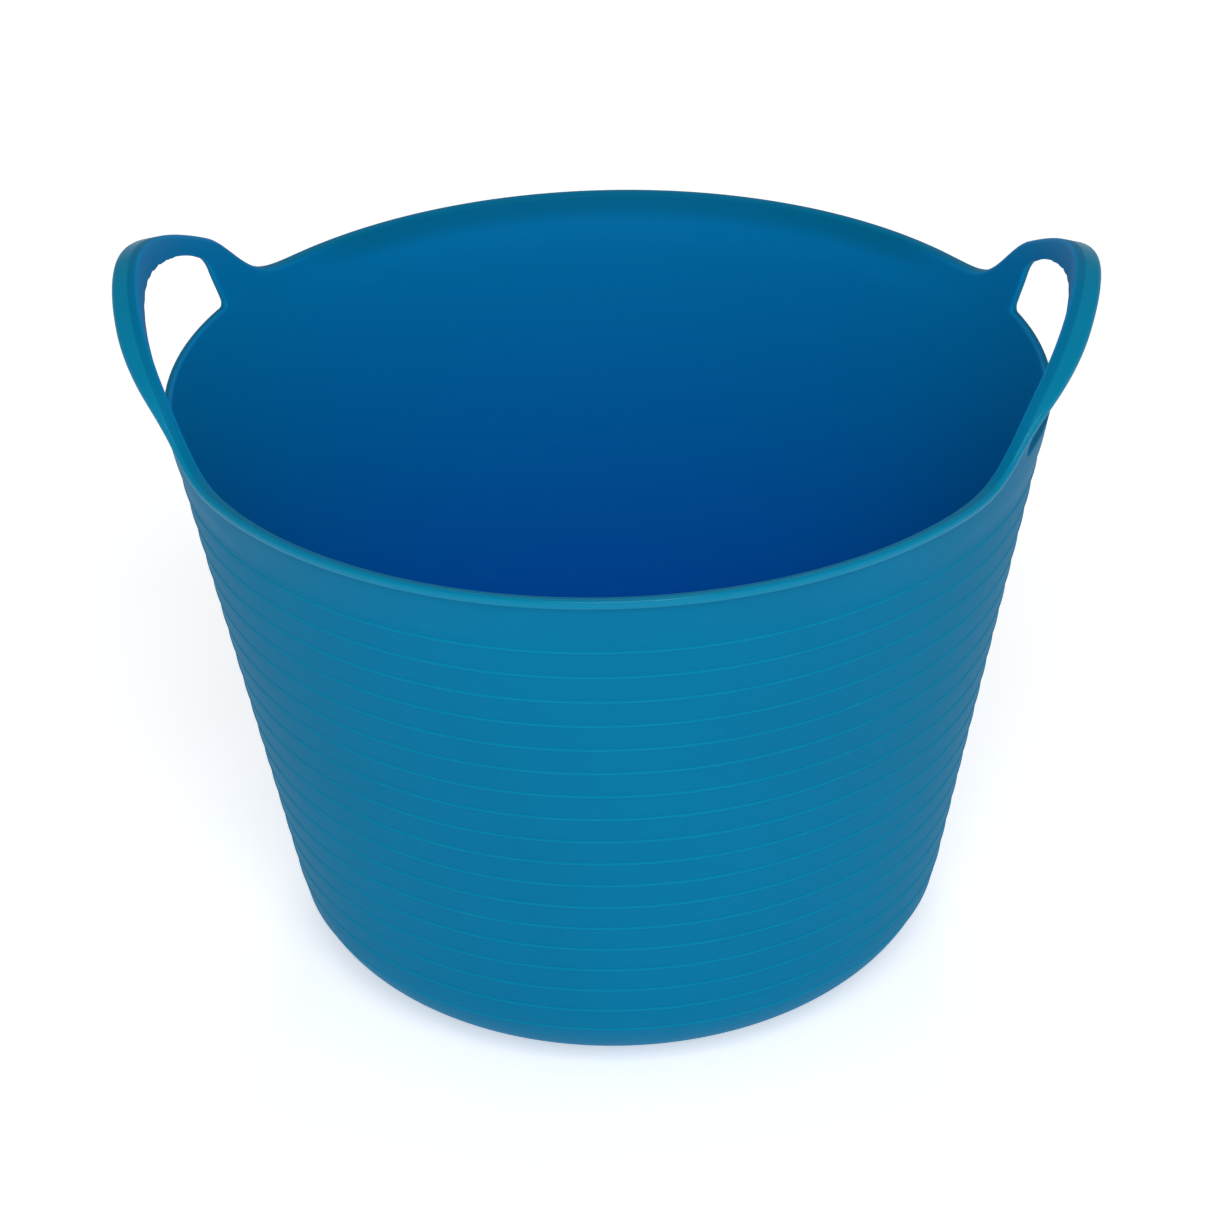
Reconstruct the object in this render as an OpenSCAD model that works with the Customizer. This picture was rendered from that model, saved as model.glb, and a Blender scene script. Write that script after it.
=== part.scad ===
// Flexible mixing tub: a tapered round tub with a beaded rim and two handles that rise from the rim.
// Origin: centre of the circle on which the tub stands. +Z is up, and the handles are on +X and -X.

/* [Tub] */
// Diameter over the rim bead
rim_d = 450; // [380:5:520]
// Height from the ground to the middle of the rim bead
rim_h = 313; // [250:1:360]
// Diameter at which the straight side would meet the ground
base_d = 324; // [280:2:360]
// Thickness of the side
wall_t = 3.2; // [2.5:0.1:4.5]
// Thickness of the floor
floor_t = 4; // [3:0.5:6]
// Outside radius of the round corner between the side and the floor
corner_r = 53; // [35:1:60]
// Diameter of the rim bead
bead_d = 5.6; // [4:0.1:8]
// How far the bead's middle stands out from the outside of the side
bead_out = 1.7; // [0:0.1:2.5]

/* [Ridges] */
// Number of fine ridges round the side
ridge_count = 18; // [4:1:19]
// Distance from the middle of the bead down to the first ridge
ridge_first = 30.5; // [20:0.5:40]
// Spacing of the ridges at the top of the side
ridge_pitch = 15.05; // [10:0.05:15.1]
// How much closer each ridge is than the one above it
ridge_closing = 0.065; // [0:0.005:0.1]
// Height that a ridge stands proud of the side
ridge_proud = 0.6; // [0.3:0.1:1]
// Width of a ridge
ridge_w = 1.6; // [1:0.1:3]

/* [Foot] */
// Middle diameter of the raised ring under the floor
foot_d = 196; // [120:2:220]
// Width of the ring
foot_w = 9; // [5:1:15]
// Height of the ring
foot_h = 1.5; // [1:0.5:3]
// Diameter of the gate mark in the middle of the underside
gate_d = 16; // [8:1:30]

/* [Handles] */
// Height of a handle above the middle of the bead
handle_rise = 68; // [60:1:80]
// Height of the window's arch above the middle of the bead
window_rise = 53.5; // [48:0.5:55]
// Height of the window's sill above the middle of the bead
sill_rise = 1; // [0:0.5:4]
// Thickness of a handle's web, round the window
web_t = 4; // [3:0.5:6]
// Thickness of the flange that runs along a handle's top edge
flange_h = 5; // [4:0.5:7]
// Width of the flange at its foot, over the rim
flange_foot_w = 8; // [7:0.5:10]
// Width of the flange at the grip
flange_grip_w = 14; // [10:0.5:18]
// Number of ribs between the flange and the web, under the grip
rib_count = 9; // [5:2:11]
// Spacing of the ribs
rib_pitch = 11; // [8:0.5:14]
// Thickness of a rib
rib_t = 2.4; // [1.5:0.1:4]

/* [Flexing roots] */
// Height above the middle of the bead at which a handle's two legs bend
hinge_rise = 13; // [11:0.5:16]
// Distance of the bending line from the tub's middle
hinge_x = 202; // [200:0.5:204]
// Radius of the round seat on which a leg turns
seat_r = 9.5; // [8.5:0.5:10]
// Clearance in that seat
seat_gap = 0.3; // [0.2:0.1:0.5]

/* [Hidden] */

ROUND = 180;               // facets drawn on a full turn
tub_blue = [0, 0.46, 0.63];
ridge_blue = [0, 0.54, 0.67];
handle_blue = [0, 0.49, 0.65];

bead_r = bead_d / 2;
bead_mid = rim_d / 2 - bead_r;                      // radius of the bead's middle line
wall_top = bead_mid - bead_out;                     // outside radius of the side at the bead's height
slope = (wall_top - base_d / 2) / rim_h;            // how far the side leans out for each mm of height
lean = atan(slope);
band_foot = rim_h - ridge_first + 5;                // where the plain band under the rim starts

// Outside radius of the straight side at height z, and the inside radius
function side_r(z) = base_d / 2 + slope * z;
function inner_r(z) = side_r(z) - wall_t / cos(lean);

// Round corner: centre of its arc, and the height where it meets the straight side
corner_z = foot_h + corner_r;
corner_mid = side_r(corner_z) - corner_r / cos(lean);
corner_top = corner_z - corner_r * sin(lean);
corner_steps = 12;

// Arc of the corner with radius r, from straight down round to the side
function corner_arc(r) = [for (i = [0 : corner_steps])
    let (a = -90 + i * (90 - lean) / corner_steps)
    [corner_mid + r * cos(a), corner_z + r * sin(a)]];

// Outside radius and outward direction of the tub's surface at height z, corner included
function surface_r(z) = z > corner_top ? side_r(z)
    : corner_mid + sqrt(corner_r * corner_r - (corner_z - z) * (corner_z - z));
function surface_tilt(z) = z > corner_top ? -lean : -asin((corner_z - z) / corner_r);

// Height of ridge i below the bead
function ridge_drop(i) = ridge_first + i * ridge_pitch - ridge_closing * i * (i - 1) / 2;

// Point at t on a cubic Bezier curve
function bezier(p, t) = pow(1 - t, 3) * p[0] + 3 * t * pow(1 - t, 2) * p[1]
    + 3 * t * t * (1 - t) * p[2] + pow(t, 3) * p[3];
function bezier_slope(p, t) = 3 * pow(1 - t, 2) * (p[1] - p[0]) + 6 * t * (1 - t) * (p[2] - p[1])
    + 3 * t * t * (p[3] - p[2]);
curve_steps = 8;

// Half outline of a handle's top edge, from its middle down to the rim: sideways and up from the bead
handle_edge = [
    [[0, handle_rise], [28, handle_rise], [60, 52.5], [82, 39]],
    [[82, 39], [95, 30.5], [100, 16], [112, 8]],
    [[112, 8], [119, 3.3], [128, bead_r], [142, bead_r]]];

// Half outline of the window, from the middle of its arch down to its sill
window_edge = [
    [[0, window_rise], [18, window_rise], [38, 49], [54, 42]],
    [[54, 42], [66, 37], [76, 33], [77, 22]],
    [[77, 22], [78, 14], [79.5, 9], [80, 4]],
    [[80, 4], [80, 2], [79, sill_rise], [77, sill_rise]]];

// Points along a chain of curves, moved inward by d from the edge
function unit(v) = v / norm(v);
function along(chain, d) = [for (p = chain, i = [0 : curve_steps])
    let (t = i / curve_steps, s = unit(bezier_slope(p, t)))
    if (i < curve_steps || p == chain[len(chain) - 1]) bezier(p, t) + d * [s[1], -s[0]]];

// Mirror image of a half outline, in reverse order
function other_half(points) = [for (i = [len(points) - 1 : -1 : 1]) [-points[i][0], points[i][1]]];
function closed_outline(points) = concat(other_half(points), points);

// Carries both ends of an outline straight down, well below the bead
function grounded(points) = let (last = points[len(points) - 1], below = -20)
    concat(points, [[last[0], below], [-last[0], below]]);

// Width of the flange at a rise v above the bead
flange_start = 15;
flange_full = 56;
function ease(x) = x <= 0 ? 0 : x >= 1 ? 1 : x * x * (3 - 2 * x);
function flange_w(v) = flange_foot_w
    + (flange_grip_w - flange_foot_w) * ease((v - flange_start) / (flange_full - flange_start));
flange_stations = [0, 15, 24, 32, 40, 48, 56, handle_rise + 4];

module revolve(points) {
    rotate_extrude($fn = ROUND)
        polygon(points);
}

// A prism along +X with an outline that is given sideways (Y) and up from the bead (Z)
module prism(points) {
    translate([hinge_x - 60, 0, rim_h])
        rotate([90, 0, 90])
            linear_extrude(height = 110)
                polygon(points);
}

module floor_panel() {
    color(tub_blue)
        translate([0, 0, foot_h])
            cylinder(r = corner_mid, h = floor_t, $fn = ROUND);
}

module foot_ring() {
    color(tub_blue)
        difference() {
            cylinder(d = foot_d + foot_w, h = foot_h, $fn = ROUND);
            translate([0, 0, -1])
                cylinder(d = foot_d - foot_w, h = foot_h + 2, $fn = ROUND);
        }
}

// The stub that is left where the plastic ran into the mould. It stays clear of the ground.
module gate_mark() {
    color(tub_blue)
        translate([0, 0, foot_h / 2])
            cylinder(d = gate_d, h = foot_h / 2, $fn = ROUND);
}

// The inside of the corner starts at the floor's thickness and ends at the side's
module base_corner() {
    inner_corner_r = corner_r - floor_t;
    thinning = (floor_t - wall_t) / corner_steps;
    inner_arc = [for (i = [corner_steps : -1 : 0])
        let (a = -90 + i * (90 - lean) / corner_steps, r = inner_corner_r + thinning * i)
        [corner_mid + r * cos(a), corner_z + r * sin(a)]];
    color(tub_blue)
        revolve(concat(corner_arc(corner_r), inner_arc));
}

// A ring of the straight side between two heights, its ends cut square to the side
module side_ring(low, high) {
    across = wall_t * [-cos(lean), sin(lean)];
    foot = [side_r(low), low];
    head = [side_r(high), high];
    revolve([foot, head, head + across, foot + across]);
}

module side_wall() {
    color(tub_blue)
        side_ring(corner_top, band_foot);
}

// The plain band under the rim ends level, where the shoulders and the sills stand on it
module upper_band() {
    across = wall_t * [-cos(lean), sin(lean)];
    foot = [side_r(band_foot), band_foot];
    color(tub_blue)
        revolve([foot, [side_r(rim_h), rim_h], [inner_r(rim_h), rim_h], foot + across]);
}

module wall_ridges() {
    color(ridge_blue)
        for (i = [0 : ridge_count - 1]) {
            z = rim_h - ridge_drop(i);
            tilt = surface_tilt(z);
            outward = [cos(tilt), sin(tilt)];
            upward = [-sin(tilt), cos(tilt)];
            foot = [surface_r(z), z];
            revolve([foot - upward * ridge_w / 2 - outward * 0.3,
                     foot - upward * ridge_w / 2,
                     foot + outward * ridge_proud - upward * ridge_w / 5,
                     foot + outward * ridge_proud + upward * ridge_w / 5,
                     foot + upward * ridge_w / 2,
                     foot + upward * ridge_w / 2 - outward * 0.3]);
        }
}

// A length of the bead, from one azimuth round to another
shoulder_angle = 39;
window_angle = 21;
module bead(from, to) {
    translate([0, 0, rim_h])
        rotate([0, 0, from])
            rotate_extrude(angle = to - from, $fn = ROUND)
                translate([bead_mid, 0])
                    circle(r = bead_r, $fn = 32);
}

module rim_front() {
    color(handle_blue)
        bead(180 + shoulder_angle, 360 - shoulder_angle);
}

module rim_back() {
    color(handle_blue)
        bead(shoulder_angle, 180 - shoulder_angle);
}

// The web of a handle: the tub's own side carried on upwards, with the window cut out
module web() {
    top = rim_h + handle_rise + 2;
    difference() {
        intersection() {
            revolve([[inner_r(rim_h), rim_h], [inner_r(rim_h) + web_t, rim_h],
                     [inner_r(top) + web_t, top], [inner_r(top), top]]);
            prism(grounded(closed_outline(along(handle_edge, flange_h))));
        }
        prism(grounded(closed_outline(along(window_edge, 0))));
    }
}

// The flange of a handle: the bead, wider and wider towards the grip
module flange() {
    inside = [for (v = flange_stations) [inner_r(rim_h + v), rim_h + v]];
    outside = [for (i = [len(flange_stations) - 1 : -1 : 0])
        let (v = flange_stations[i])
        [inner_r(rim_h + v) + flange_w(v), rim_h + v]];
    edge = closed_outline(along(handle_edge, 0));
    under = closed_outline(along(handle_edge, flange_h));
    intersection() {
        revolve(concat(inside, outside));
        difference() {
            prism(grounded(edge));
            prism(grounded(under));
        }
    }
}

// The space that belongs to the moving handle: all above the bending line, and the round seat under it
module moving_space(gap) {
    translate([hinge_x, 0, rim_h + hinge_rise])
        rotate([90, 0, 0])
            cylinder(r = seat_r + gap, h = 400, center = true, $fn = ROUND);
    translate([hinge_x - 60, -200, rim_h + hinge_rise - gap])
        cube([120, 400, 100]);
}

module shoulder() {
    color(handle_blue)
        difference() {
            union() {
                web();
                flange();
                bead(window_angle, shoulder_angle);
                bead(-shoulder_angle, -window_angle);
            }
            moving_space(seat_gap);
        }
}

module handle_web() {
    color(handle_blue)
        intersection() {
            web();
            moving_space(0);
        }
}

module grip_flange() {
    color(handle_blue)
        intersection() {
            flange();
            moving_space(0);
        }
}

// Ribs that fill the corner between the flange and the web at the grip
module grip_ribs() {
    low = rim_h + window_rise - 14;
    high = rim_h + handle_rise + 2;
    color(handle_blue)
        intersection() {
            revolve([[inner_r(low) + web_t, low], [inner_r(low) + flange_grip_w - 3, low],
                     [inner_r(high) + flange_grip_w - 3, high], [inner_r(high) + web_t, high]]);
            difference() {
                prism(grounded(closed_outline(along(handle_edge, flange_h))));
                prism(grounded(closed_outline(along(window_edge, -1))));
            }
            for (i = [0 : rib_count - 1])
                translate([hinge_x, (i - (rib_count - 1) / 2) * rib_pitch - rib_t / 2, rim_h])
                    cube([60, rib_t, handle_rise]);
        }
}

floor_panel();
foot_ring();
gate_mark();
base_corner();
side_wall();
wall_ridges();
upper_band();
rim_front();
rim_back();
mirror([1, 0, 0]) shoulder();  // shoulder_left
shoulder();  // shoulder_right
mirror([1, 0, 0]) handle_web();  // handle_web_left
handle_web();  // handle_web_right
mirror([1, 0, 0]) grip_flange();  // grip_flange_left
grip_flange();  // grip_flange_right
mirror([1, 0, 0]) grip_ribs();  // grip_ribs_left
grip_ribs();  // grip_ribs_right
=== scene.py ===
import math

import bmesh
import bpy
import numpy as np
from mathutils import Matrix, Vector


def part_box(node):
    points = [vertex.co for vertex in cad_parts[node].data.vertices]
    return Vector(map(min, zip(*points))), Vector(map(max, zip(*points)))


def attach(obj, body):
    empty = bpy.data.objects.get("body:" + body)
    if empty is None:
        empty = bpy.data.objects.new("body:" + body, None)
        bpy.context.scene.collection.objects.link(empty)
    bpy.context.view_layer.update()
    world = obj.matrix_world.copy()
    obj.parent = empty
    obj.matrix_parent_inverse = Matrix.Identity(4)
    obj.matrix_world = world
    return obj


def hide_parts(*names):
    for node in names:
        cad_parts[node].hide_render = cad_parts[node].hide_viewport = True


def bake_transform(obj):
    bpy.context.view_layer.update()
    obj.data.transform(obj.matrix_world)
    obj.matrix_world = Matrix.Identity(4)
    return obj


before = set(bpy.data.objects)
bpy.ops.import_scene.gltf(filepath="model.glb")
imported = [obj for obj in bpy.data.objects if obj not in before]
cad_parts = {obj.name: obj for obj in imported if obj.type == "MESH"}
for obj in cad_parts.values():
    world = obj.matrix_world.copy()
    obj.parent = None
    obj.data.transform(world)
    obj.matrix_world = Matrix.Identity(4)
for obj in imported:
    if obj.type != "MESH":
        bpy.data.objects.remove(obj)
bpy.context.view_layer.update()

# ---------------------------------------------------------------------------
# Camera
# The tub is seen from in front and above, with its handles turned four degrees
# away from square, through a long lens that is held a little off level.
# ---------------------------------------------------------------------------
view_turn = math.radians(4)
view_distance = 1.7742
view_height = 1.2179
view_tilt = math.radians(30.29)
view_pan = math.radians(-0.105)
view_roll = math.radians(-1.521)
lens_length = 117.9

heading = view_turn - view_pan
forward = Vector((-math.sin(heading) * math.cos(view_tilt), math.cos(heading) * math.cos(view_tilt),
                  -math.sin(view_tilt)))
level_right = Vector((math.cos(heading), math.sin(heading), 0))
level_up = level_right.cross(forward)
right = math.cos(view_roll) * level_right + math.sin(view_roll) * level_up
up = right.cross(forward)

camera_data = bpy.data.cameras.new("camera")
camera_data.lens = lens_length
camera_data.sensor_width = 36
camera_data.clip_start = 0.05
camera = bpy.data.objects.new("camera", camera_data)
place = Vector((math.sin(view_turn) * view_distance, -math.cos(view_turn) * view_distance, view_height))
camera.matrix_world = Matrix.Translation(place) @ Matrix((right, up, -forward)).transposed().to_4x4()
bpy.context.collection.objects.link(camera)
bpy.context.scene.camera = camera

# ---------------------------------------------------------------------------
# Studio
# A white sweep under soft light: a broad lamp over the front of the tub, a
# weaker one behind it, and an even white surround.
# ---------------------------------------------------------------------------
class Wire:
    """One socket of a shader, so that shader maths can be written as ordinary Python."""

    def __init__(self, tree, socket):
        self.tree = tree
        self.socket = socket

    def node(self, kind, settings=None, outlet=0, **inputs):
        """Adds a node of this type: its settings first, then the values or wires of its sockets. A socket is
        called by its name, or by i and its number."""
        made = self.tree.nodes.new(kind)
        for key, value in (settings or {}).items():
            setattr(made, key, value)
        for key, value in inputs.items():
            spot = made.inputs[int(key[1:])] if key[1:].isdigit() else made.inputs[key.replace("_", " ")]
            if isinstance(value, Wire):
                self.tree.links.new(value.socket, spot)
            else:
                spot.default_value = (*value, 1.0) if spot.type == "RGBA" else value
        return Wire(self.tree, made.outputs[outlet])

    def math(self, operation, *values):
        return self.node("ShaderNodeMath", {"operation": operation},
                         **{f"i{i}": v for i, v in enumerate(values)})

    def __add__(self, other):
        return self.math("ADD", self, other)

    def __radd__(self, other):
        return self.math("ADD", other, self)

    def __sub__(self, other):
        return self.math("SUBTRACT", self, other)

    def __rsub__(self, other):
        return self.math("SUBTRACT", other, self)

    def __mul__(self, other):
        return self.math("MULTIPLY", self, other)

    def __rmul__(self, other):
        return self.math("MULTIPLY", other, self)

    def between(self, low, high):
        """0 below low, 1 above high, and a smooth step between."""
        return self.node("ShaderNodeMapRange", {"interpolation_type": "SMOOTHSTEP"},
                         Value=self, From_Min=low, From_Max=high)

    def away_from(self, place, other, other_place):
        """How far the pair of this wire and another lies from a pair of fixed values."""
        one, two = self - place, other - other_place
        return self.math("SQRT", one * one + two * two)

    def blend(self, first, second):
        """The colour first where this wire is 0, and second where it is 1."""
        return self.node("ShaderNodeMix", {"data_type": "RGBA"}, outlet=2, i0=self, i6=first, i7=second)


def new_material(name):
    """A material with its Principled shader, and a wire that carries the place on the object in metres."""
    material = bpy.data.materials.new(name)
    material.use_nodes = True
    tree = material.node_tree
    shader = tree.nodes["Principled BSDF"]
    return material, shader, Wire(tree, None).node("ShaderNodeTexCoord", outlet=3)


def feed(shader, **inputs):
    """Sets sockets of a shader: a wire becomes a link, and anything else a plain value."""
    for key, value in inputs.items():
        spot = shader.inputs[key.replace("_", " ")]
        if isinstance(value, Wire):
            value.tree.links.new(value.socket, spot)
        else:
            spot.default_value = value


sweep_material, sweep_shader, sweep_place = new_material("white_sweep")
sweep_cloud = sweep_place.node("ShaderNodeTexNoise", Vector=sweep_place, Scale=3.0, Detail=2.0)
feed(sweep_shader, Base_Color=sweep_cloud.between(0.3, 0.7).blend((0.84, 0.845, 0.85), (0.86, 0.86, 0.865)),
     Roughness=0.85, Specular_IOR_Level=0.1, Emission_Color=(1.0, 1.0, 1.0, 1.0), Emission_Strength=0.5)

sweep_mesh = bpy.data.meshes.new("sweep")
sweep_side = 40.0
sweep_mesh.from_pydata([(-sweep_side, -sweep_side, 0), (sweep_side, -sweep_side, 0),
                        (sweep_side, sweep_side, 0), (-sweep_side, sweep_side, 0)], [], [(0, 1, 2, 3)])
sweep = bpy.data.objects.new("sweep", sweep_mesh)
sweep_mesh.materials.append(sweep_material)
bpy.context.collection.objects.link(sweep)


def soft_lamp(name, place, target, size, power):
    """A square lamp that faces a point."""
    data = bpy.data.lights.new(name, "AREA")
    data.shape = "SQUARE"
    data.size = size
    data.energy = power
    lamp = bpy.data.objects.new(name, data)
    lamp.location = place
    lamp.rotation_euler = (Vector(target) - Vector(place)).to_track_quat("-Z", "Y").to_euler()
    bpy.context.collection.objects.link(lamp)


tub_middle = (0, 0, 0.2)
soft_lamp("key_lamp", (0.35, -2.4, 2.5), tub_middle, 1.6, 58)
soft_lamp("back_lamp", (0.0, 2.2, 2.4), tub_middle, 1.2, 14)

world = bpy.data.worlds.new("studio")
bpy.context.scene.world = world
world.use_nodes = True
surround = world.node_tree.nodes["Background"]
toward = Wire(world.node_tree, None).node("ShaderNodeTexCoord", outlet=0)
above = toward.node("ShaderNodeSeparateXYZ", outlet=2, Vector=toward)
feed(surround, Color=above.between(0.1, 0.4).blend((0.76, 0.77, 0.78), (0.28, 0.28, 0.28)), Strength=1.0)
bpy.context.scene.view_settings.view_transform = "Standard"

# ---------------------------------------------------------------------------
# Floor of the tub
# The flat floor is the bottom of the one polyethylene moulding. It is a little
# thicker than the side and faintly dished, as the plastic shrinks while it cools.
# ---------------------------------------------------------------------------
MM = 0.001
ROUND = 288  # steps in a full turn
tub_blue = (0.0, 0.16, 0.315)
worn_blue = (0.02, 0.28, 0.45)
# Painted highlight: the glossy bead and grip tops are painted towards this paler blue.
painted_highlight_blue = (0.0, 0.26, 0.42)
# Painted shade: the inside of the tub is painted a deeper, bluer blue than the outside, darkest low down.
inside_painted_shade_low = (0.0, 0.078, 0.44)
inside_painted_shade_high = (0.0, 0.21, 0.48)
painted_shade_palest_height = 0.34     # the height at which the inside is at its palest
painted_shade_edge = 0.6 * MM
cloud_dark = 0.965
cloud_light = 1.03
least_wear = 0.06
gleam_edge = 0.7 * MM
painted_highlight_share = 0.45
gleam_coat = 0.16


def moulded_plastic(name, rub=0.0, roughness=0.5, painted_pale=0.0, depth_inward=None, gleam=None):
    """Satin polyethylene, coloured right through: cloudy pigment, a fine eroded skin, and dull scuffs.
    The depth function tells, from the radius and the height, how far a point lies within the tub, where the
    colour is
    painted shade: a deeper blue, darkest towards the bottom. The gleam distance is how far outside that the
    mould and the hands have left the plastic glossy; there the colour is also a painted highlight. The pale
    share paints the whole piece lighter, as a painted highlight."""
    material, shader, place = new_material(name)
    cloud = place.node("ShaderNodeTexNoise", Vector=place, Scale=7.0, Detail=3.0, Roughness=0.55)
    skin = place.node("ShaderNodeTexNoise", Vector=place, Scale=1100.0, Detail=2.0)
    flow = place.node("ShaderNodeTexNoise", Vector=place, Scale=26.0, Detail=2.0, Distortion=0.6)
    scuff = place.node("ShaderNodeTexNoise", Vector=place, Scale=85.0, Detail=5.0, Roughness=0.7)
    height = place.node("ShaderNodeSeparateXYZ", outlet=2, Vector=place)
    # A share here paints the outside colour lighter, as a painted highlight.
    outer = (0.0, tub_blue[1] * (1 + painted_pale), tub_blue[2] * (1 + 0.5 * painted_pale))
    shade = cloud.between(0.3, 0.7)
    body = shade.blend(tuple(c * cloud_dark for c in outer), tuple(c * cloud_light for c in outer))
    # Painted shade: inside the tub the colour is painted darker and bluer, darkest towards the bottom.
    if depth_inward:
        level = place.node("ShaderNodeVectorMath", {"operation": "MULTIPLY"}, i0=place, i1=(1.0, 1.0, 0.0))
        radius = level.node("ShaderNodeVectorMath", {"operation": "LENGTH"}, outlet=1, i0=level)
        painted_shade_mask = depth_inward(radius, height).between(-painted_shade_edge, painted_shade_edge)
        body = painted_shade_mask.blend(body, height.between(0.0, painted_shade_palest_height).blend(inside_painted_shade_low, inside_painted_shade_high))
    if gleam:
        gloss_and_painted_highlight = (0 - depth_inward(radius, height)).between(gleam, gleam + gleam_edge)
        # Painted highlight: where the plastic is glossy, its colour is also painted paler.
        body = (gloss_and_painted_highlight * painted_highlight_share).blend(body, painted_highlight_blue)
        feed(shader, Coat_Weight=gloss_and_painted_highlight * gleam_coat, Coat_Roughness=0.13, Coat_IOR=1.45)
    wear = scuff.between(0.56, 0.76) * (least_wear + rub)
    relief = skin * 0.35 + flow * 0.65
    bump = relief.node("ShaderNodeBump", Height=relief, Strength=0.12, Distance=0.0006)
    feed(shader, Base_Color=wear.blend(body, worn_blue), Roughness=roughness + 0.1 * cloud + 0.25 * wear,
         Normal=bump, IOR=1.5, Specular_IOR_Level=0.03)
    return material


def make_piece(name, points, faces, material, body=None, *nodes, sharp=32):
    """A closed mesh object, smooth but for its sharp edges, that stands for these CAD nodes."""
    mesh = bpy.data.meshes.new(name)
    mesh.from_pydata([tuple(p) for p in points], [], faces)
    work = bmesh.new()
    work.from_mesh(mesh)
    bmesh.ops.remove_doubles(work, verts=work.verts, dist=2e-6)
    bmesh.ops.dissolve_degenerate(work, dist=1e-7, edges=work.edges)
    bmesh.ops.recalc_face_normals(work, faces=work.faces)
    work.to_mesh(mesh)
    work.free()
    mesh.shade_smooth()
    mesh.set_sharp_from_angle(angle=math.radians(sharp))
    mesh.materials.append(material)
    piece = bpy.data.objects.new(name, mesh)
    bpy.context.collection.objects.link(piece)
    if body:
        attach(piece, body)
    if nodes:
        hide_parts(*nodes)
    return piece


def band_faces(rows, columns, wrap_rows=True):
    """Faces of a grid of points, which joins up along its columns, and along its rows too if asked."""
    return [(i * columns + j, (i + 1) % rows * columns + j,
             (i + 1) % rows * columns + (j + 1) % columns, i * columns + (j + 1) % columns)
            for i in range(rows if wrap_rows else rows - 1) for j in range(columns)]


def turned(profiles):
    """Points and faces of closed outlines (radius, height), each turned through a full circle."""
    points = []
    faces = []
    for profile in profiles:
        offset = len(points)
        for i in range(ROUND):
            a = 2 * math.pi * i / ROUND
            points += [(r * math.cos(a), r * math.sin(a), z) for r, z in profile]
        faces += [tuple(offset + k for k in f) for f in band_faces(ROUND, len(profile))]
    return points, faces


def arc(centre, radius, start, end, steps):
    """Points on an arc, angles in degrees."""
    return [(centre[0] + radius * math.cos(math.radians(start + (end - start) * i / steps)),
             centre[1] + radius * math.sin(math.radians(start + (end - start) * i / steps)))
            for i in range(steps + 1)]


floor_low, floor_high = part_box("floor_panel")
floor_r = floor_high[0]
floor_z = floor_low[2]
floor_top = floor_high[2]
floor_dish = 0.35 * MM

floor_material = moulded_plastic(
    "floor_plastic", rub=0.1, depth_inward=lambda radius, height: height - (floor_z + floor_top) / 2)
floor_rings = 16
floor_profile = [(floor_r * i / floor_rings, floor_z + floor_dish * (1 - (i / floor_rings) ** 2))
                 for i in range(floor_rings + 1)]
floor_profile += [(floor_r * i / floor_rings, floor_top) for i in range(floor_rings, -1, -1)]
make_piece("floor_panel_moulded", *turned([floor_profile]), floor_material, "tub", "floor_panel")

# ---------------------------------------------------------------------------
# Foot ring and gate mark
# The ring is what touches the ground, and is moulded with round edges. The gate
# mark is the trimmed stub in the middle, where the plastic ran into the mould.
# ---------------------------------------------------------------------------
foot_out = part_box("foot_ring")[1][0]
foot_wide = 9 * MM
foot_round = 1.1 * MM
foot_sunk = 0.6 * MM
foot_root = floor_z + foot_sunk
foot_in = foot_out - foot_wide
foot_profile = [(foot_out, foot_root)] + arc((foot_out - foot_round, foot_round), foot_round, 0, -90, 6)
foot_profile += arc((foot_in + foot_round, foot_round), foot_round, -90, -180, 6) + [(foot_in, foot_root)]
foot_material = moulded_plastic("foot_plastic", rub=0.45, roughness=0.55)
make_piece("foot_ring_moulded", *turned([foot_profile]), foot_material, "tub", "foot_ring")

gate_low, gate_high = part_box("gate_mark")
gate_r = gate_high[0]
gate_z = gate_low[2]
gate_lip = 0.5 * MM
gate_root = floor_z + 2 * gate_lip
gate_hollow = 0.22 * gate_r
gate_crest = 0.3 * gate_r
gate_profile = [(0, gate_root), (0, gate_z + gate_lip), (gate_hollow, gate_z + gate_lip),
                (gate_crest, gate_z)]
gate_profile += arc((gate_r - gate_lip, gate_z + gate_lip), gate_lip, -90, 0, 5)
gate_profile += [(gate_r, gate_root)]
make_piece("gate_mark_moulded", *turned([gate_profile]), foot_material, "tub", "gate_mark")

# ---------------------------------------------------------------------------
# Corner and side
# The side is a plain cone that leaves the floor round one large radius. The
# plastic thins from the floor to the side, so the corner's inside radius differs.
# ---------------------------------------------------------------------------
corner_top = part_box("side_wall")[0][2]
corner_r_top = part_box("base_corner")[1][0]
band_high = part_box("upper_band")[1]
rim_z = band_high[2]
rim_side_r = band_high[0]
slope = (rim_side_r - corner_r_top) / (rim_z - corner_top)
lean = math.atan(slope)
wall = 3.2 * MM
floor_thick = floor_top - floor_z
corner_r = (corner_top - floor_z) / (1 - math.sin(lean))
corner_z = floor_z + corner_r
corner_steps = 24
band_deep = 25.5 * MM
band_foot = rim_z - band_deep


def side_r(z):
    """Outside radius of the straight side."""
    return rim_side_r + slope * (z - rim_z)


def inner_r(z):
    """Inside radius of the straight side."""
    return side_r(z) - wall / math.cos(lean)


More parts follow.
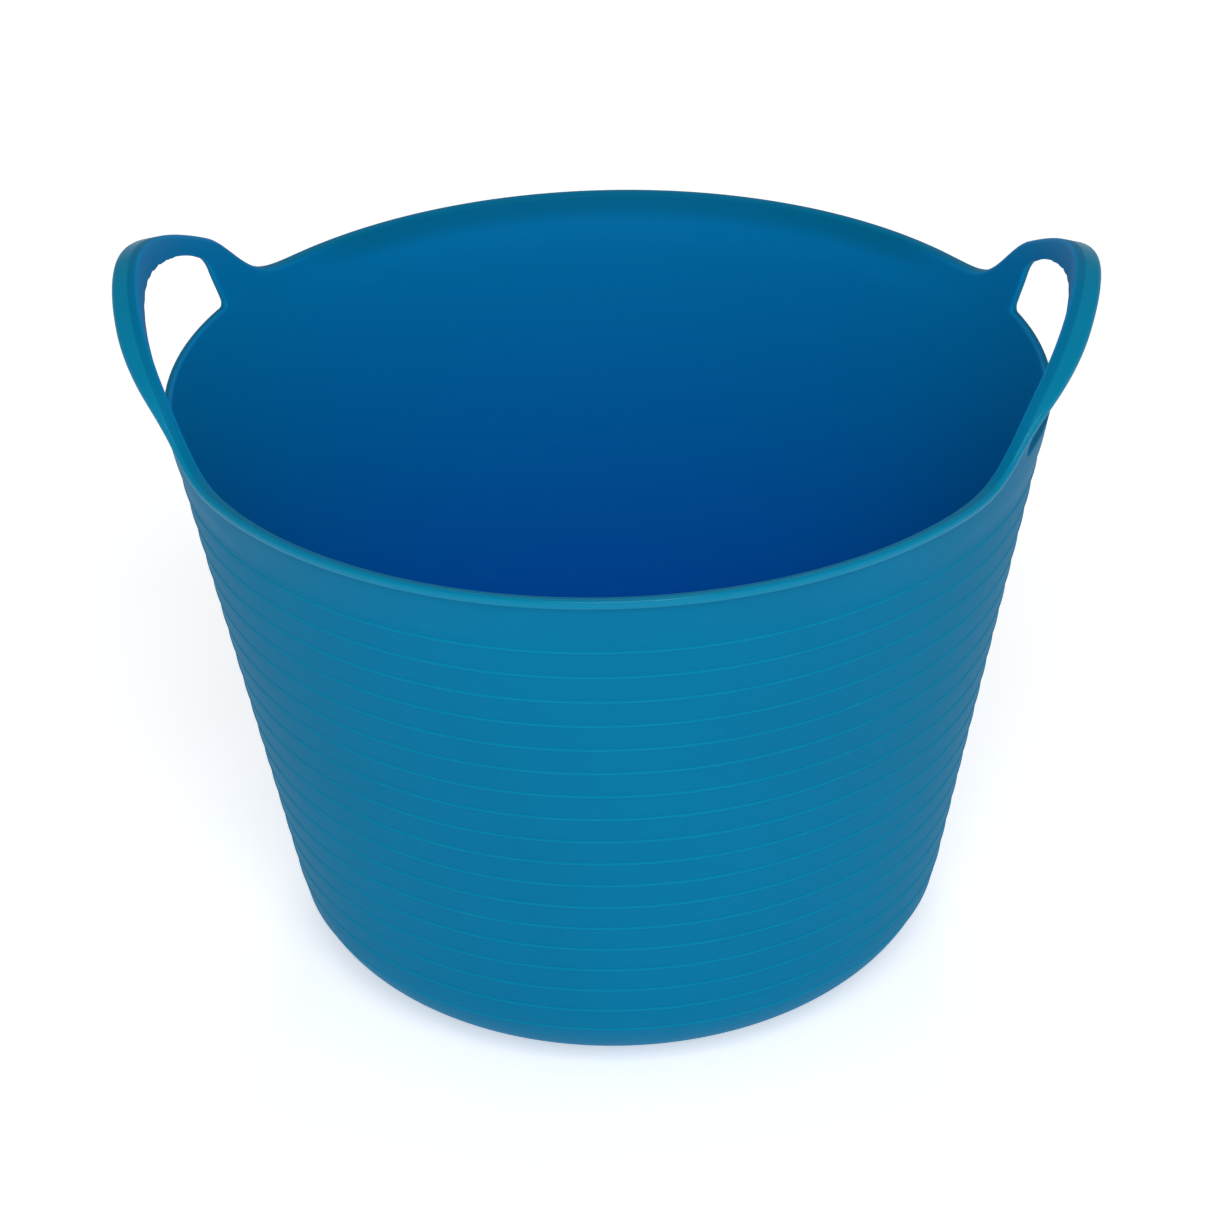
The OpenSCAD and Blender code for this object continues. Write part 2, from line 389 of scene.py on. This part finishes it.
corner_profile = arc((floor_r, corner_z), corner_r, -90, -math.degrees(lean), corner_steps)
for step in range(corner_steps, -1, -1):
    share = step / corner_steps
    turn = math.radians(-90 + (90 - math.degrees(lean)) * share)
    inside_r = corner_r - floor_thick + (floor_thick - wall) * share
    corner_profile.append((floor_r + inside_r * math.cos(turn), corner_z + inside_r * math.sin(turn)))
corner_material = moulded_plastic(
    "corner_plastic", rub=0.1,
    depth_inward=lambda radius, height: corner_r - wall / 2 - radius.away_from(floor_r, height, corner_z))
make_piece("base_corner_moulded", *turned([corner_profile]), corner_material, "tub", "base_corner")

side_rings = 40
side_heights = [corner_top + (band_foot - corner_top) * i / side_rings for i in range(side_rings + 1)]
side_profile = [(side_r(z), z) for z in side_heights]
inner_foot = corner_top + wall * math.sin(lean)
side_profile += [(inner_r(z), z) for z in np.linspace(band_foot, inner_foot, side_rings + 1)]
side_material = moulded_plastic(
    "side_plastic", depth_inward=lambda radius, height: side_r(0) - wall / 2 + slope * height - radius)
make_piece("side_wall_moulded", *turned([side_profile]), side_material, "tub", "side_wall")

# ---------------------------------------------------------------------------
# Ridges
# Eighteen fine ridges run round the outside and stiffen the side. They are cut
# in the mould, so they have soft feet, and their crests are the first to rub.
# ---------------------------------------------------------------------------
ridge_count = 18
ridge_first = 30.5 * MM
ridge_pitch = 15.05 * MM
ridge_closing = 0.065 * MM
ridge_half = 0.95 * MM
ridge_proud = 0.45 * MM
ridge_sunk = 0.12 * MM
ridge_root = 0.48 * MM
ridge_steps = 10

ridge_profiles = []
for i in range(ridge_count):
    z = rim_z - (ridge_first + i * ridge_pitch - ridge_closing * i * (i - 1) / 2)
    if z > corner_top:
        foot, tilt = (side_r(z), z), -lean
    else:
        tilt = -math.asin((corner_z - z) / corner_r)
        foot = (floor_r + corner_r * math.cos(tilt), z)
    ridge = []
    for k in range(ridge_steps + 1):
        t = 2 * k / ridge_steps - 1
        rise = ridge_proud * (0.5 + 0.5 * math.cos(math.pi * t)) - ridge_sunk * t * t
        ridge.append((foot[0] + rise * math.cos(tilt) - t * ridge_half * math.sin(tilt),
                      foot[1] + rise * math.sin(tilt) + t * ridge_half * math.cos(tilt)))
    for t in (1, -1):
        ridge.append((foot[0] - ridge_root * math.cos(tilt) - t * ridge_half * math.sin(tilt),
                      foot[1] - ridge_root * math.sin(tilt) + t * ridge_half * math.cos(tilt)))
    ridge_profiles.append(ridge)
# The ridges are painted paler all over, a painted highlight where light catches their slopes; their scuffs
# are wear.
ridge_material = moulded_plastic("ridge_plastic", rub=0.2, painted_pale=0.3)
make_piece("wall_ridges_moulded", *turned(ridge_profiles), ridge_material, "tub", "wall_ridges", sharp=50)

# ---------------------------------------------------------------------------
# Rim
# The plain band under the rim flares a little between the handles and ends in a
# round bead, moulded in one with the side, which keeps the mouth in shape. Front
# and back are the same.
# ---------------------------------------------------------------------------
bead_low, bead_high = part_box("rim_front")
bead_r = (bead_high[2] - bead_low[2]) / 2
bead_inset = 0.14 * MM
bead_out_r = -bead_low[1] - bead_inset
rim_flare = 1.7 * MM
flare_start = math.radians(26)
flare_full = math.radians(52)
handle_sector = math.radians(43)
bead_round = 2.3 * MM
lip_fillet = 0.9 * MM
bead_gleam = 3.7 * MM  # how far the bead stands out from the inner face before it is glossy, with a painted highlight
band_wall = wall / math.cos(lean)
band_rings = 12
bead_clear = 1.5 * MM


def ease(x):
    """0 below 0, 1 above 1, and a smooth step between."""
    x = min(max(x, 0), 1)
    return x * x * (3 - 2 * x)


def shell_r(azimuth, z):
    """Inside radius at this height, azimuth counted from the nearer handle, with the band's flare."""
    share = ease((abs(azimuth) - flare_start) / (flare_full - flare_start))
    return inner_r(z) + rim_flare * share * ease((z - band_foot) / (rim_z - band_foot))


def lip_section(wide, deep, web, rounding, fillet):
    """Outline of a lip that crowns a web, as (out, down) from the top of the inner face."""
    top = arc((rounding, rounding), rounding, 180, 270, 5)
    top += arc((wide - rounding, rounding), rounding, 270, 360, 5)
    top += arc((wide - rounding, deep - rounding), rounding, 0, 90, 5)
    foot = arc((web + fillet, deep + fillet), fillet, 270, 180, 4)
    return top + foot


rim_material = moulded_plastic(
    "rim_plastic", roughness=0.45, gleam=bead_gleam,
    depth_inward=lambda radius, height: side_r(0) - 0.6 * wall + slope * height - radius)


def rim_length(name, middle, *nodes):
    """The band and bead between the two handles, on the side of the tub with this azimuth at its middle."""
    count = 2 * round((math.pi - 2 * handle_sector) * ROUND / (4 * math.pi)) + 1
    points = []
    for i in range(count):
        turn = handle_sector + (math.pi - 2 * handle_sector) * i / (count - 1)
        near = min(turn, math.pi - turn)
        wide = bead_out_r - shell_r(near, rim_z)
        lip = lip_section(wide, 2 * bead_r, band_wall, bead_round, lip_fillet)
        section = [(shell_r(near, z), z) for z in np.linspace(band_foot, rim_z - 2 * bead_r, band_rings)]
        section += [(shell_r(near, rim_z + bead_r - down) + out, rim_z + bead_r - down) for out, down in lip]
        below = section[-1][1]
        section += [(shell_r(near, z) + band_wall, z)
                    for z in np.linspace(below - bead_clear, band_foot, band_rings)]
        a = middle - math.pi / 2 + turn
        points += [(r * math.cos(a), r * math.sin(a), z) for r, z in section]
    columns = len(points) // count
    faces = band_faces(count, columns, wrap_rows=False)
    faces += [tuple(range(columns)), tuple(range((count - 1) * columns, count * columns))]
    make_piece(name, points, faces, rim_material, "tub", *nodes)


rim_length("rim_front_moulded", -math.pi / 2, "rim_front", "upper_band")
rim_length("rim_back_moulded", math.pi / 2, "rim_back")

# ---------------------------------------------------------------------------
# Handles
# Each handle is the side carried on upwards: a thin web round the hand window,
# crowned by a flange that starts as the rim bead and widens to the grip. The
# legs bend just above the rim, and the scalloped edge is the finger grip.
# ---------------------------------------------------------------------------
sill_rise = 1 * MM
web = 4 * MM
web_run = 12 * MM      # the rise over which the band's thickness turns into the web's
web_rings = 10
ring_share = 0.98      # how much of the web the rings cover, short of its round edge
flange_deep = 5.2 * MM
flange_grip_w = 14 * MM
flange_droop = 3.4 * MM
droop_power = 1.6
flange_start = 15 * MM
flange_run = 41 * MM   # the rise over which the flange grows to its full width
scallop_pitch = 11 * MM
scallop_deep = 0.8 * MM
scallop_low = 21.4 * MM
scallop_end = 42 * MM
scallop_fade = 6 * MM
window_round = 1.2 * MM
lip_points = 23        # as many as lip_section gives
curve_steps = 64
grip_spokes = 96
corner_spokes = 14
sill_spokes = 26

# Half outlines, from the middle outwards: sideways and up from the bead, in millimetres
handle_edge = [[(0, 68), (28, 68), (60, 52.5), (82, 39)], [(82, 39), (95, 30.5), (100, 16), (112, 8)],
               [(112, 8), (119, 3.3), (128, 2.8), (142, 2.8)]]
window_edge = [[(0, 53.5), (18, 53.5), (38, 49), (54, 42)], [(54, 42), (66, 37), (76, 33), (77, 22)],
               [(77, 22), (78, 14), (79.5, 9), (80, 4)], [(80, 4), (80, 2), (79, 1), (77, 1)]]


def bezier_chain(chain, steps):
    """Points along a chain of cubic Bezier curves."""
    out = []
    for a, b, c, d in chain:
        for i in range(steps):
            t = i / steps
            out.append([(1 - t) ** 3 * a[k] + 3 * t * (1 - t) ** 2 * b[k] + 3 * t * t * (1 - t) * c[k]
                        + t ** 3 * d[k] for k in (0, 1)])
    return np.array(out + [chain[-1][3]])


def as_azimuth(points):
    """Turns (sideways, up) in millimetres into (azimuth, height above the bead), in radians and metres."""
    up = points[:, 1] * MM
    r = np.array([inner_r(rim_z + v) for v in up]) + web / 2
    return np.column_stack([np.arcsin(points[:, 0] * MM / r), up])


def resample(points, count):
    """This many points, evenly spaced along a line of points."""
    metric = points * np.array([rim_side_r, 1])
    along = np.concatenate([[0], np.cumsum(np.linalg.norm(np.diff(metric, axis=0), axis=1))])
    wanted = np.linspace(0, along[-1], count)
    return np.column_stack([np.interp(wanted, along, points[:, k]) for k in (0, 1)])


def handle_spokes():
    """Half of the spokes that run from the window to the handle's outer edge, from the middle of the grip
    down to the middle of the sill: the window's points, the outer points, and where a flange crowns them."""
    edge = as_azimuth(bezier_chain(handle_edge, curve_steps))
    edge = np.vstack([edge, [handle_sector, edge[-1][1]]])
    window = as_azimuth(bezier_chain(window_edge, curve_steps))
    window_side = len(window) - curve_steps
    inner = [resample(window[:window_side], grip_spokes),
             resample(window[window_side - 1:], corner_spokes + 1)[1:],
             resample(np.array([[window[-1][0], sill_rise], [0, sill_rise]]), sill_spokes)[1:]]
    lip_foot = [handle_sector, -bead_r - lip_fillet]
    band_corner = [handle_sector, band_foot - rim_z]
    outer = [resample(edge, grip_spokes), resample(np.array([lip_foot, band_corner]), corner_spokes),
             resample(np.array([band_corner, [0, band_foot - rim_z]]), sill_spokes)[1:]]
    flanged = np.arange(grip_spokes + corner_spokes + sill_spokes - 1) < grip_spokes
    return np.vstack(inner), np.vstack(outer), flanged


def inward_normals(points):
    """Unit directions square to a line of points, towards the window."""
    metric = points * np.array([rim_side_r, 1])
    tangent = np.gradient(metric, axis=0)
    softener = np.array([1, 3, 4, 3, 1]) / 12
    tangent = np.column_stack([np.convolve(np.pad(tangent[:, k], 2, mode="edge"), softener, "valid")
                               for k in (0, 1)])
    tangent /= np.linalg.norm(tangent, axis=1)[:, None]
    return np.column_stack([tangent[:, 1], -tangent[:, 0]])


def window_edge_round():
    """The round edge of the web along the window, as (out, back from the edge)."""
    quarter = [math.radians(22.5 * k) for k in range(5)]
    outside = [(web - window_round * (1 - math.cos(a)), window_round * (1 - math.sin(a))) for a in quarter]
    return outside + [(window_round * (1 - math.sin(a)), window_round * (1 - math.cos(a))) for a in quarter]


def handle_piece(name, side, body, *nodes):
    """The shoulder, web and flange of a handle, with the sill and the band under it, as one closed shell."""
    inner, outer, flanged = handle_spokes()
    metric = np.array([rim_side_r, 1])
    normals = inward_normals(outer[flanged])
    normals[np.abs(outer[flanged][:, 1] - bead_r) < 0.05 * MM] = (0, -1)
    wave = 0.5 - 0.5 * np.cos(2 * math.pi * inner[:, 0] * rim_side_r / scallop_pitch)
    reach = np.array([ease((scallop_end - abs(s) * rim_side_r) / scallop_fade) for s in inner[:, 0]])
    inner[:, 1] -= np.where(flanged & (inner[:, 1] > scallop_low), wave * reach * scallop_deep, 0)
    away = -inward_normals(inner)

    def spot(flat, out, flip):
        """A point this far outside the inner face, from its place on the flat side. flip is -1 behind."""
        azimuth = flat[0] / rim_side_r
        r = shell_r(azimuth, rim_z + flat[1]) + out
        return (side * r * math.cos(azimuth), flip * r * math.sin(azimuth), rim_z + flat[1])

    half = len(inner)
    loops = []
    for i in list(range(half)) + list(range(half - 2, 0, -1)):
        flip = 1 if len(loops) < half else -1
        w, o, m = inner[i] * metric, outer[i] * metric, away[i]
        if flanged[i]:
            rise = outer[i][1]
            growth = ease((rise - flange_start) / flange_run)
            n = normals[i]
            wide_rim = bead_out_r - shell_r(outer[i][0], rim_z)
            wide = wide_rim + (flange_grip_w - wide_rim) * growth
            deep = 2 * bead_r + (flange_deep - 2 * bead_r) * growth
            thick = band_wall + (web - band_wall) * ease((rise - bead_r) / web_run)
            lip = [(out, down + flange_droop * growth * (out / wide) ** droop_power)
                   for out, down in lip_section(wide, deep, thick, bead_round, lip_fillet)]
        else:
            n = (w - o) / np.linalg.norm(w - o)
            thick = band_wall
            lip = [(0, 0)] * (lip_points // 2) + [(thick, 0)] * (lip_points - lip_points // 2)
        under = o + n * lip[-1][1]
        rings = [under + (w - under) * ring_share * k / web_rings for k in range(1, web_rings)]
        section = [spot(ring, 0, flip) for ring in rings[::-1]]
        section += [spot(o + n * down, out, flip) for out, down in lip]
        section += [spot(ring, thick + (web - thick) * ease(2 * k / web_rings), flip)
                    for k, ring in enumerate(rings, 1)]
        section += [spot(w + m * back, out, flip) for out, back in window_edge_round()]
        loops.append(section)
    columns = len(loops[0])
    points = [p for section in loops for p in section]
    piece = make_piece(name, points, band_faces(len(loops), columns), rim_material, None, *nodes)
    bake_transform(piece)


handle_piece("handle_right_moulded", 1, "handle_right", "shoulder_right", "handle_web_right",
             "grip_flange_right")
handle_piece("handle_left_moulded", -1, "handle_left", "shoulder_left", "handle_web_left",
             "grip_flange_left")

# ---------------------------------------------------------------------------
# Grip ribs
# Nine small ribs fill the corner between flange and web over the fingers. They
# are moulded in one with the handle, and their hollow lower edges run out into
# the scallops of the grip.
# ---------------------------------------------------------------------------
rib_count = 9
rib_half = 1.2 * MM
rib_sunk = 0.6 * MM
rib_root = web - rib_sunk
rib_reach = 11.2 * MM
rib_tip = 1.1 * MM        # how far a rib shows under the flange at its outer end
rib_hollow = 1.7
flange_into = 0.7         # how far up into the flange a rib is rooted
rib_steps = 10
rib_bevel = 0.45 * MM
rib_edge = math.radians(60)


def rise_at(chain, sideways):
    """Height above the bead of one of the half outlines, at this distance from the middle."""
    line = bezier_chain(chain, curve_steps) * MM
    return float(np.interp(abs(sideways), line[:, 0], line[:, 1]))


def rib_outline(sideways):
    """Outline of a rib, as (out, rise): along the flange, and back along the hollow lower edge."""
    outs = np.linspace(rib_root, rib_reach, rib_steps)
    fall = flange_droop * (outs / flange_grip_w) ** droop_power
    top = rise_at(handle_edge, sideways) - flange_into * flange_deep - fall
    share = (outs - rib_root) / (rib_reach - rib_root)
    foot_in = rise_at(window_edge[:2], sideways) + window_round
    foot_out = rise_at(handle_edge, sideways) - flange_deep - fall[-1] - rib_tip
    foot = foot_out + (foot_in - foot_out) * (1 - share) ** rib_hollow
    return list(zip(outs, top)) + list(zip(outs[::-1], foot[::-1]))


def ribs_piece(name, side, body, *nodes):
    """All the ribs of one handle, each a thin plate with softened edges."""
    points = []
    faces = []
    for i in range(rib_count):
        middle = (i - (rib_count - 1) / 2) * scallop_pitch
        outline = rib_outline(middle)
        count = len(outline)
        offset = len(points)
        for y in (middle - rib_half, middle + rib_half):
            points += [(side * math.sqrt((inner_r(rim_z + rise) + out) ** 2 - y * y), y, rim_z + rise)
                       for out, rise in outline]
        faces.append(tuple(range(offset, offset + count)))
        faces.append(tuple(range(offset + 2 * count - 1, offset + count - 1, -1)))
        faces += [(offset + k, offset + (k + 1) % count, offset + count + (k + 1) % count, offset + count + k)
                  for k in range(count)]
    piece = make_piece(name, points, faces, rim_material, body, *nodes)
    work = bmesh.new()
    work.from_mesh(piece.data)
    rims = [edge for edge in work.edges if edge.calc_face_angle(0) > rib_edge]
    bmesh.ops.bevel(work, geom=rims, offset=rib_bevel, segments=2, affect="EDGES", profile=0.5)
    work.to_mesh(piece.data)
    work.free()


ribs_piece("grip_ribs_right_moulded", 1, "handle_right", "grip_ribs_right")
ribs_piece("grip_ribs_left_moulded", -1, "handle_left", "grip_ribs_left")
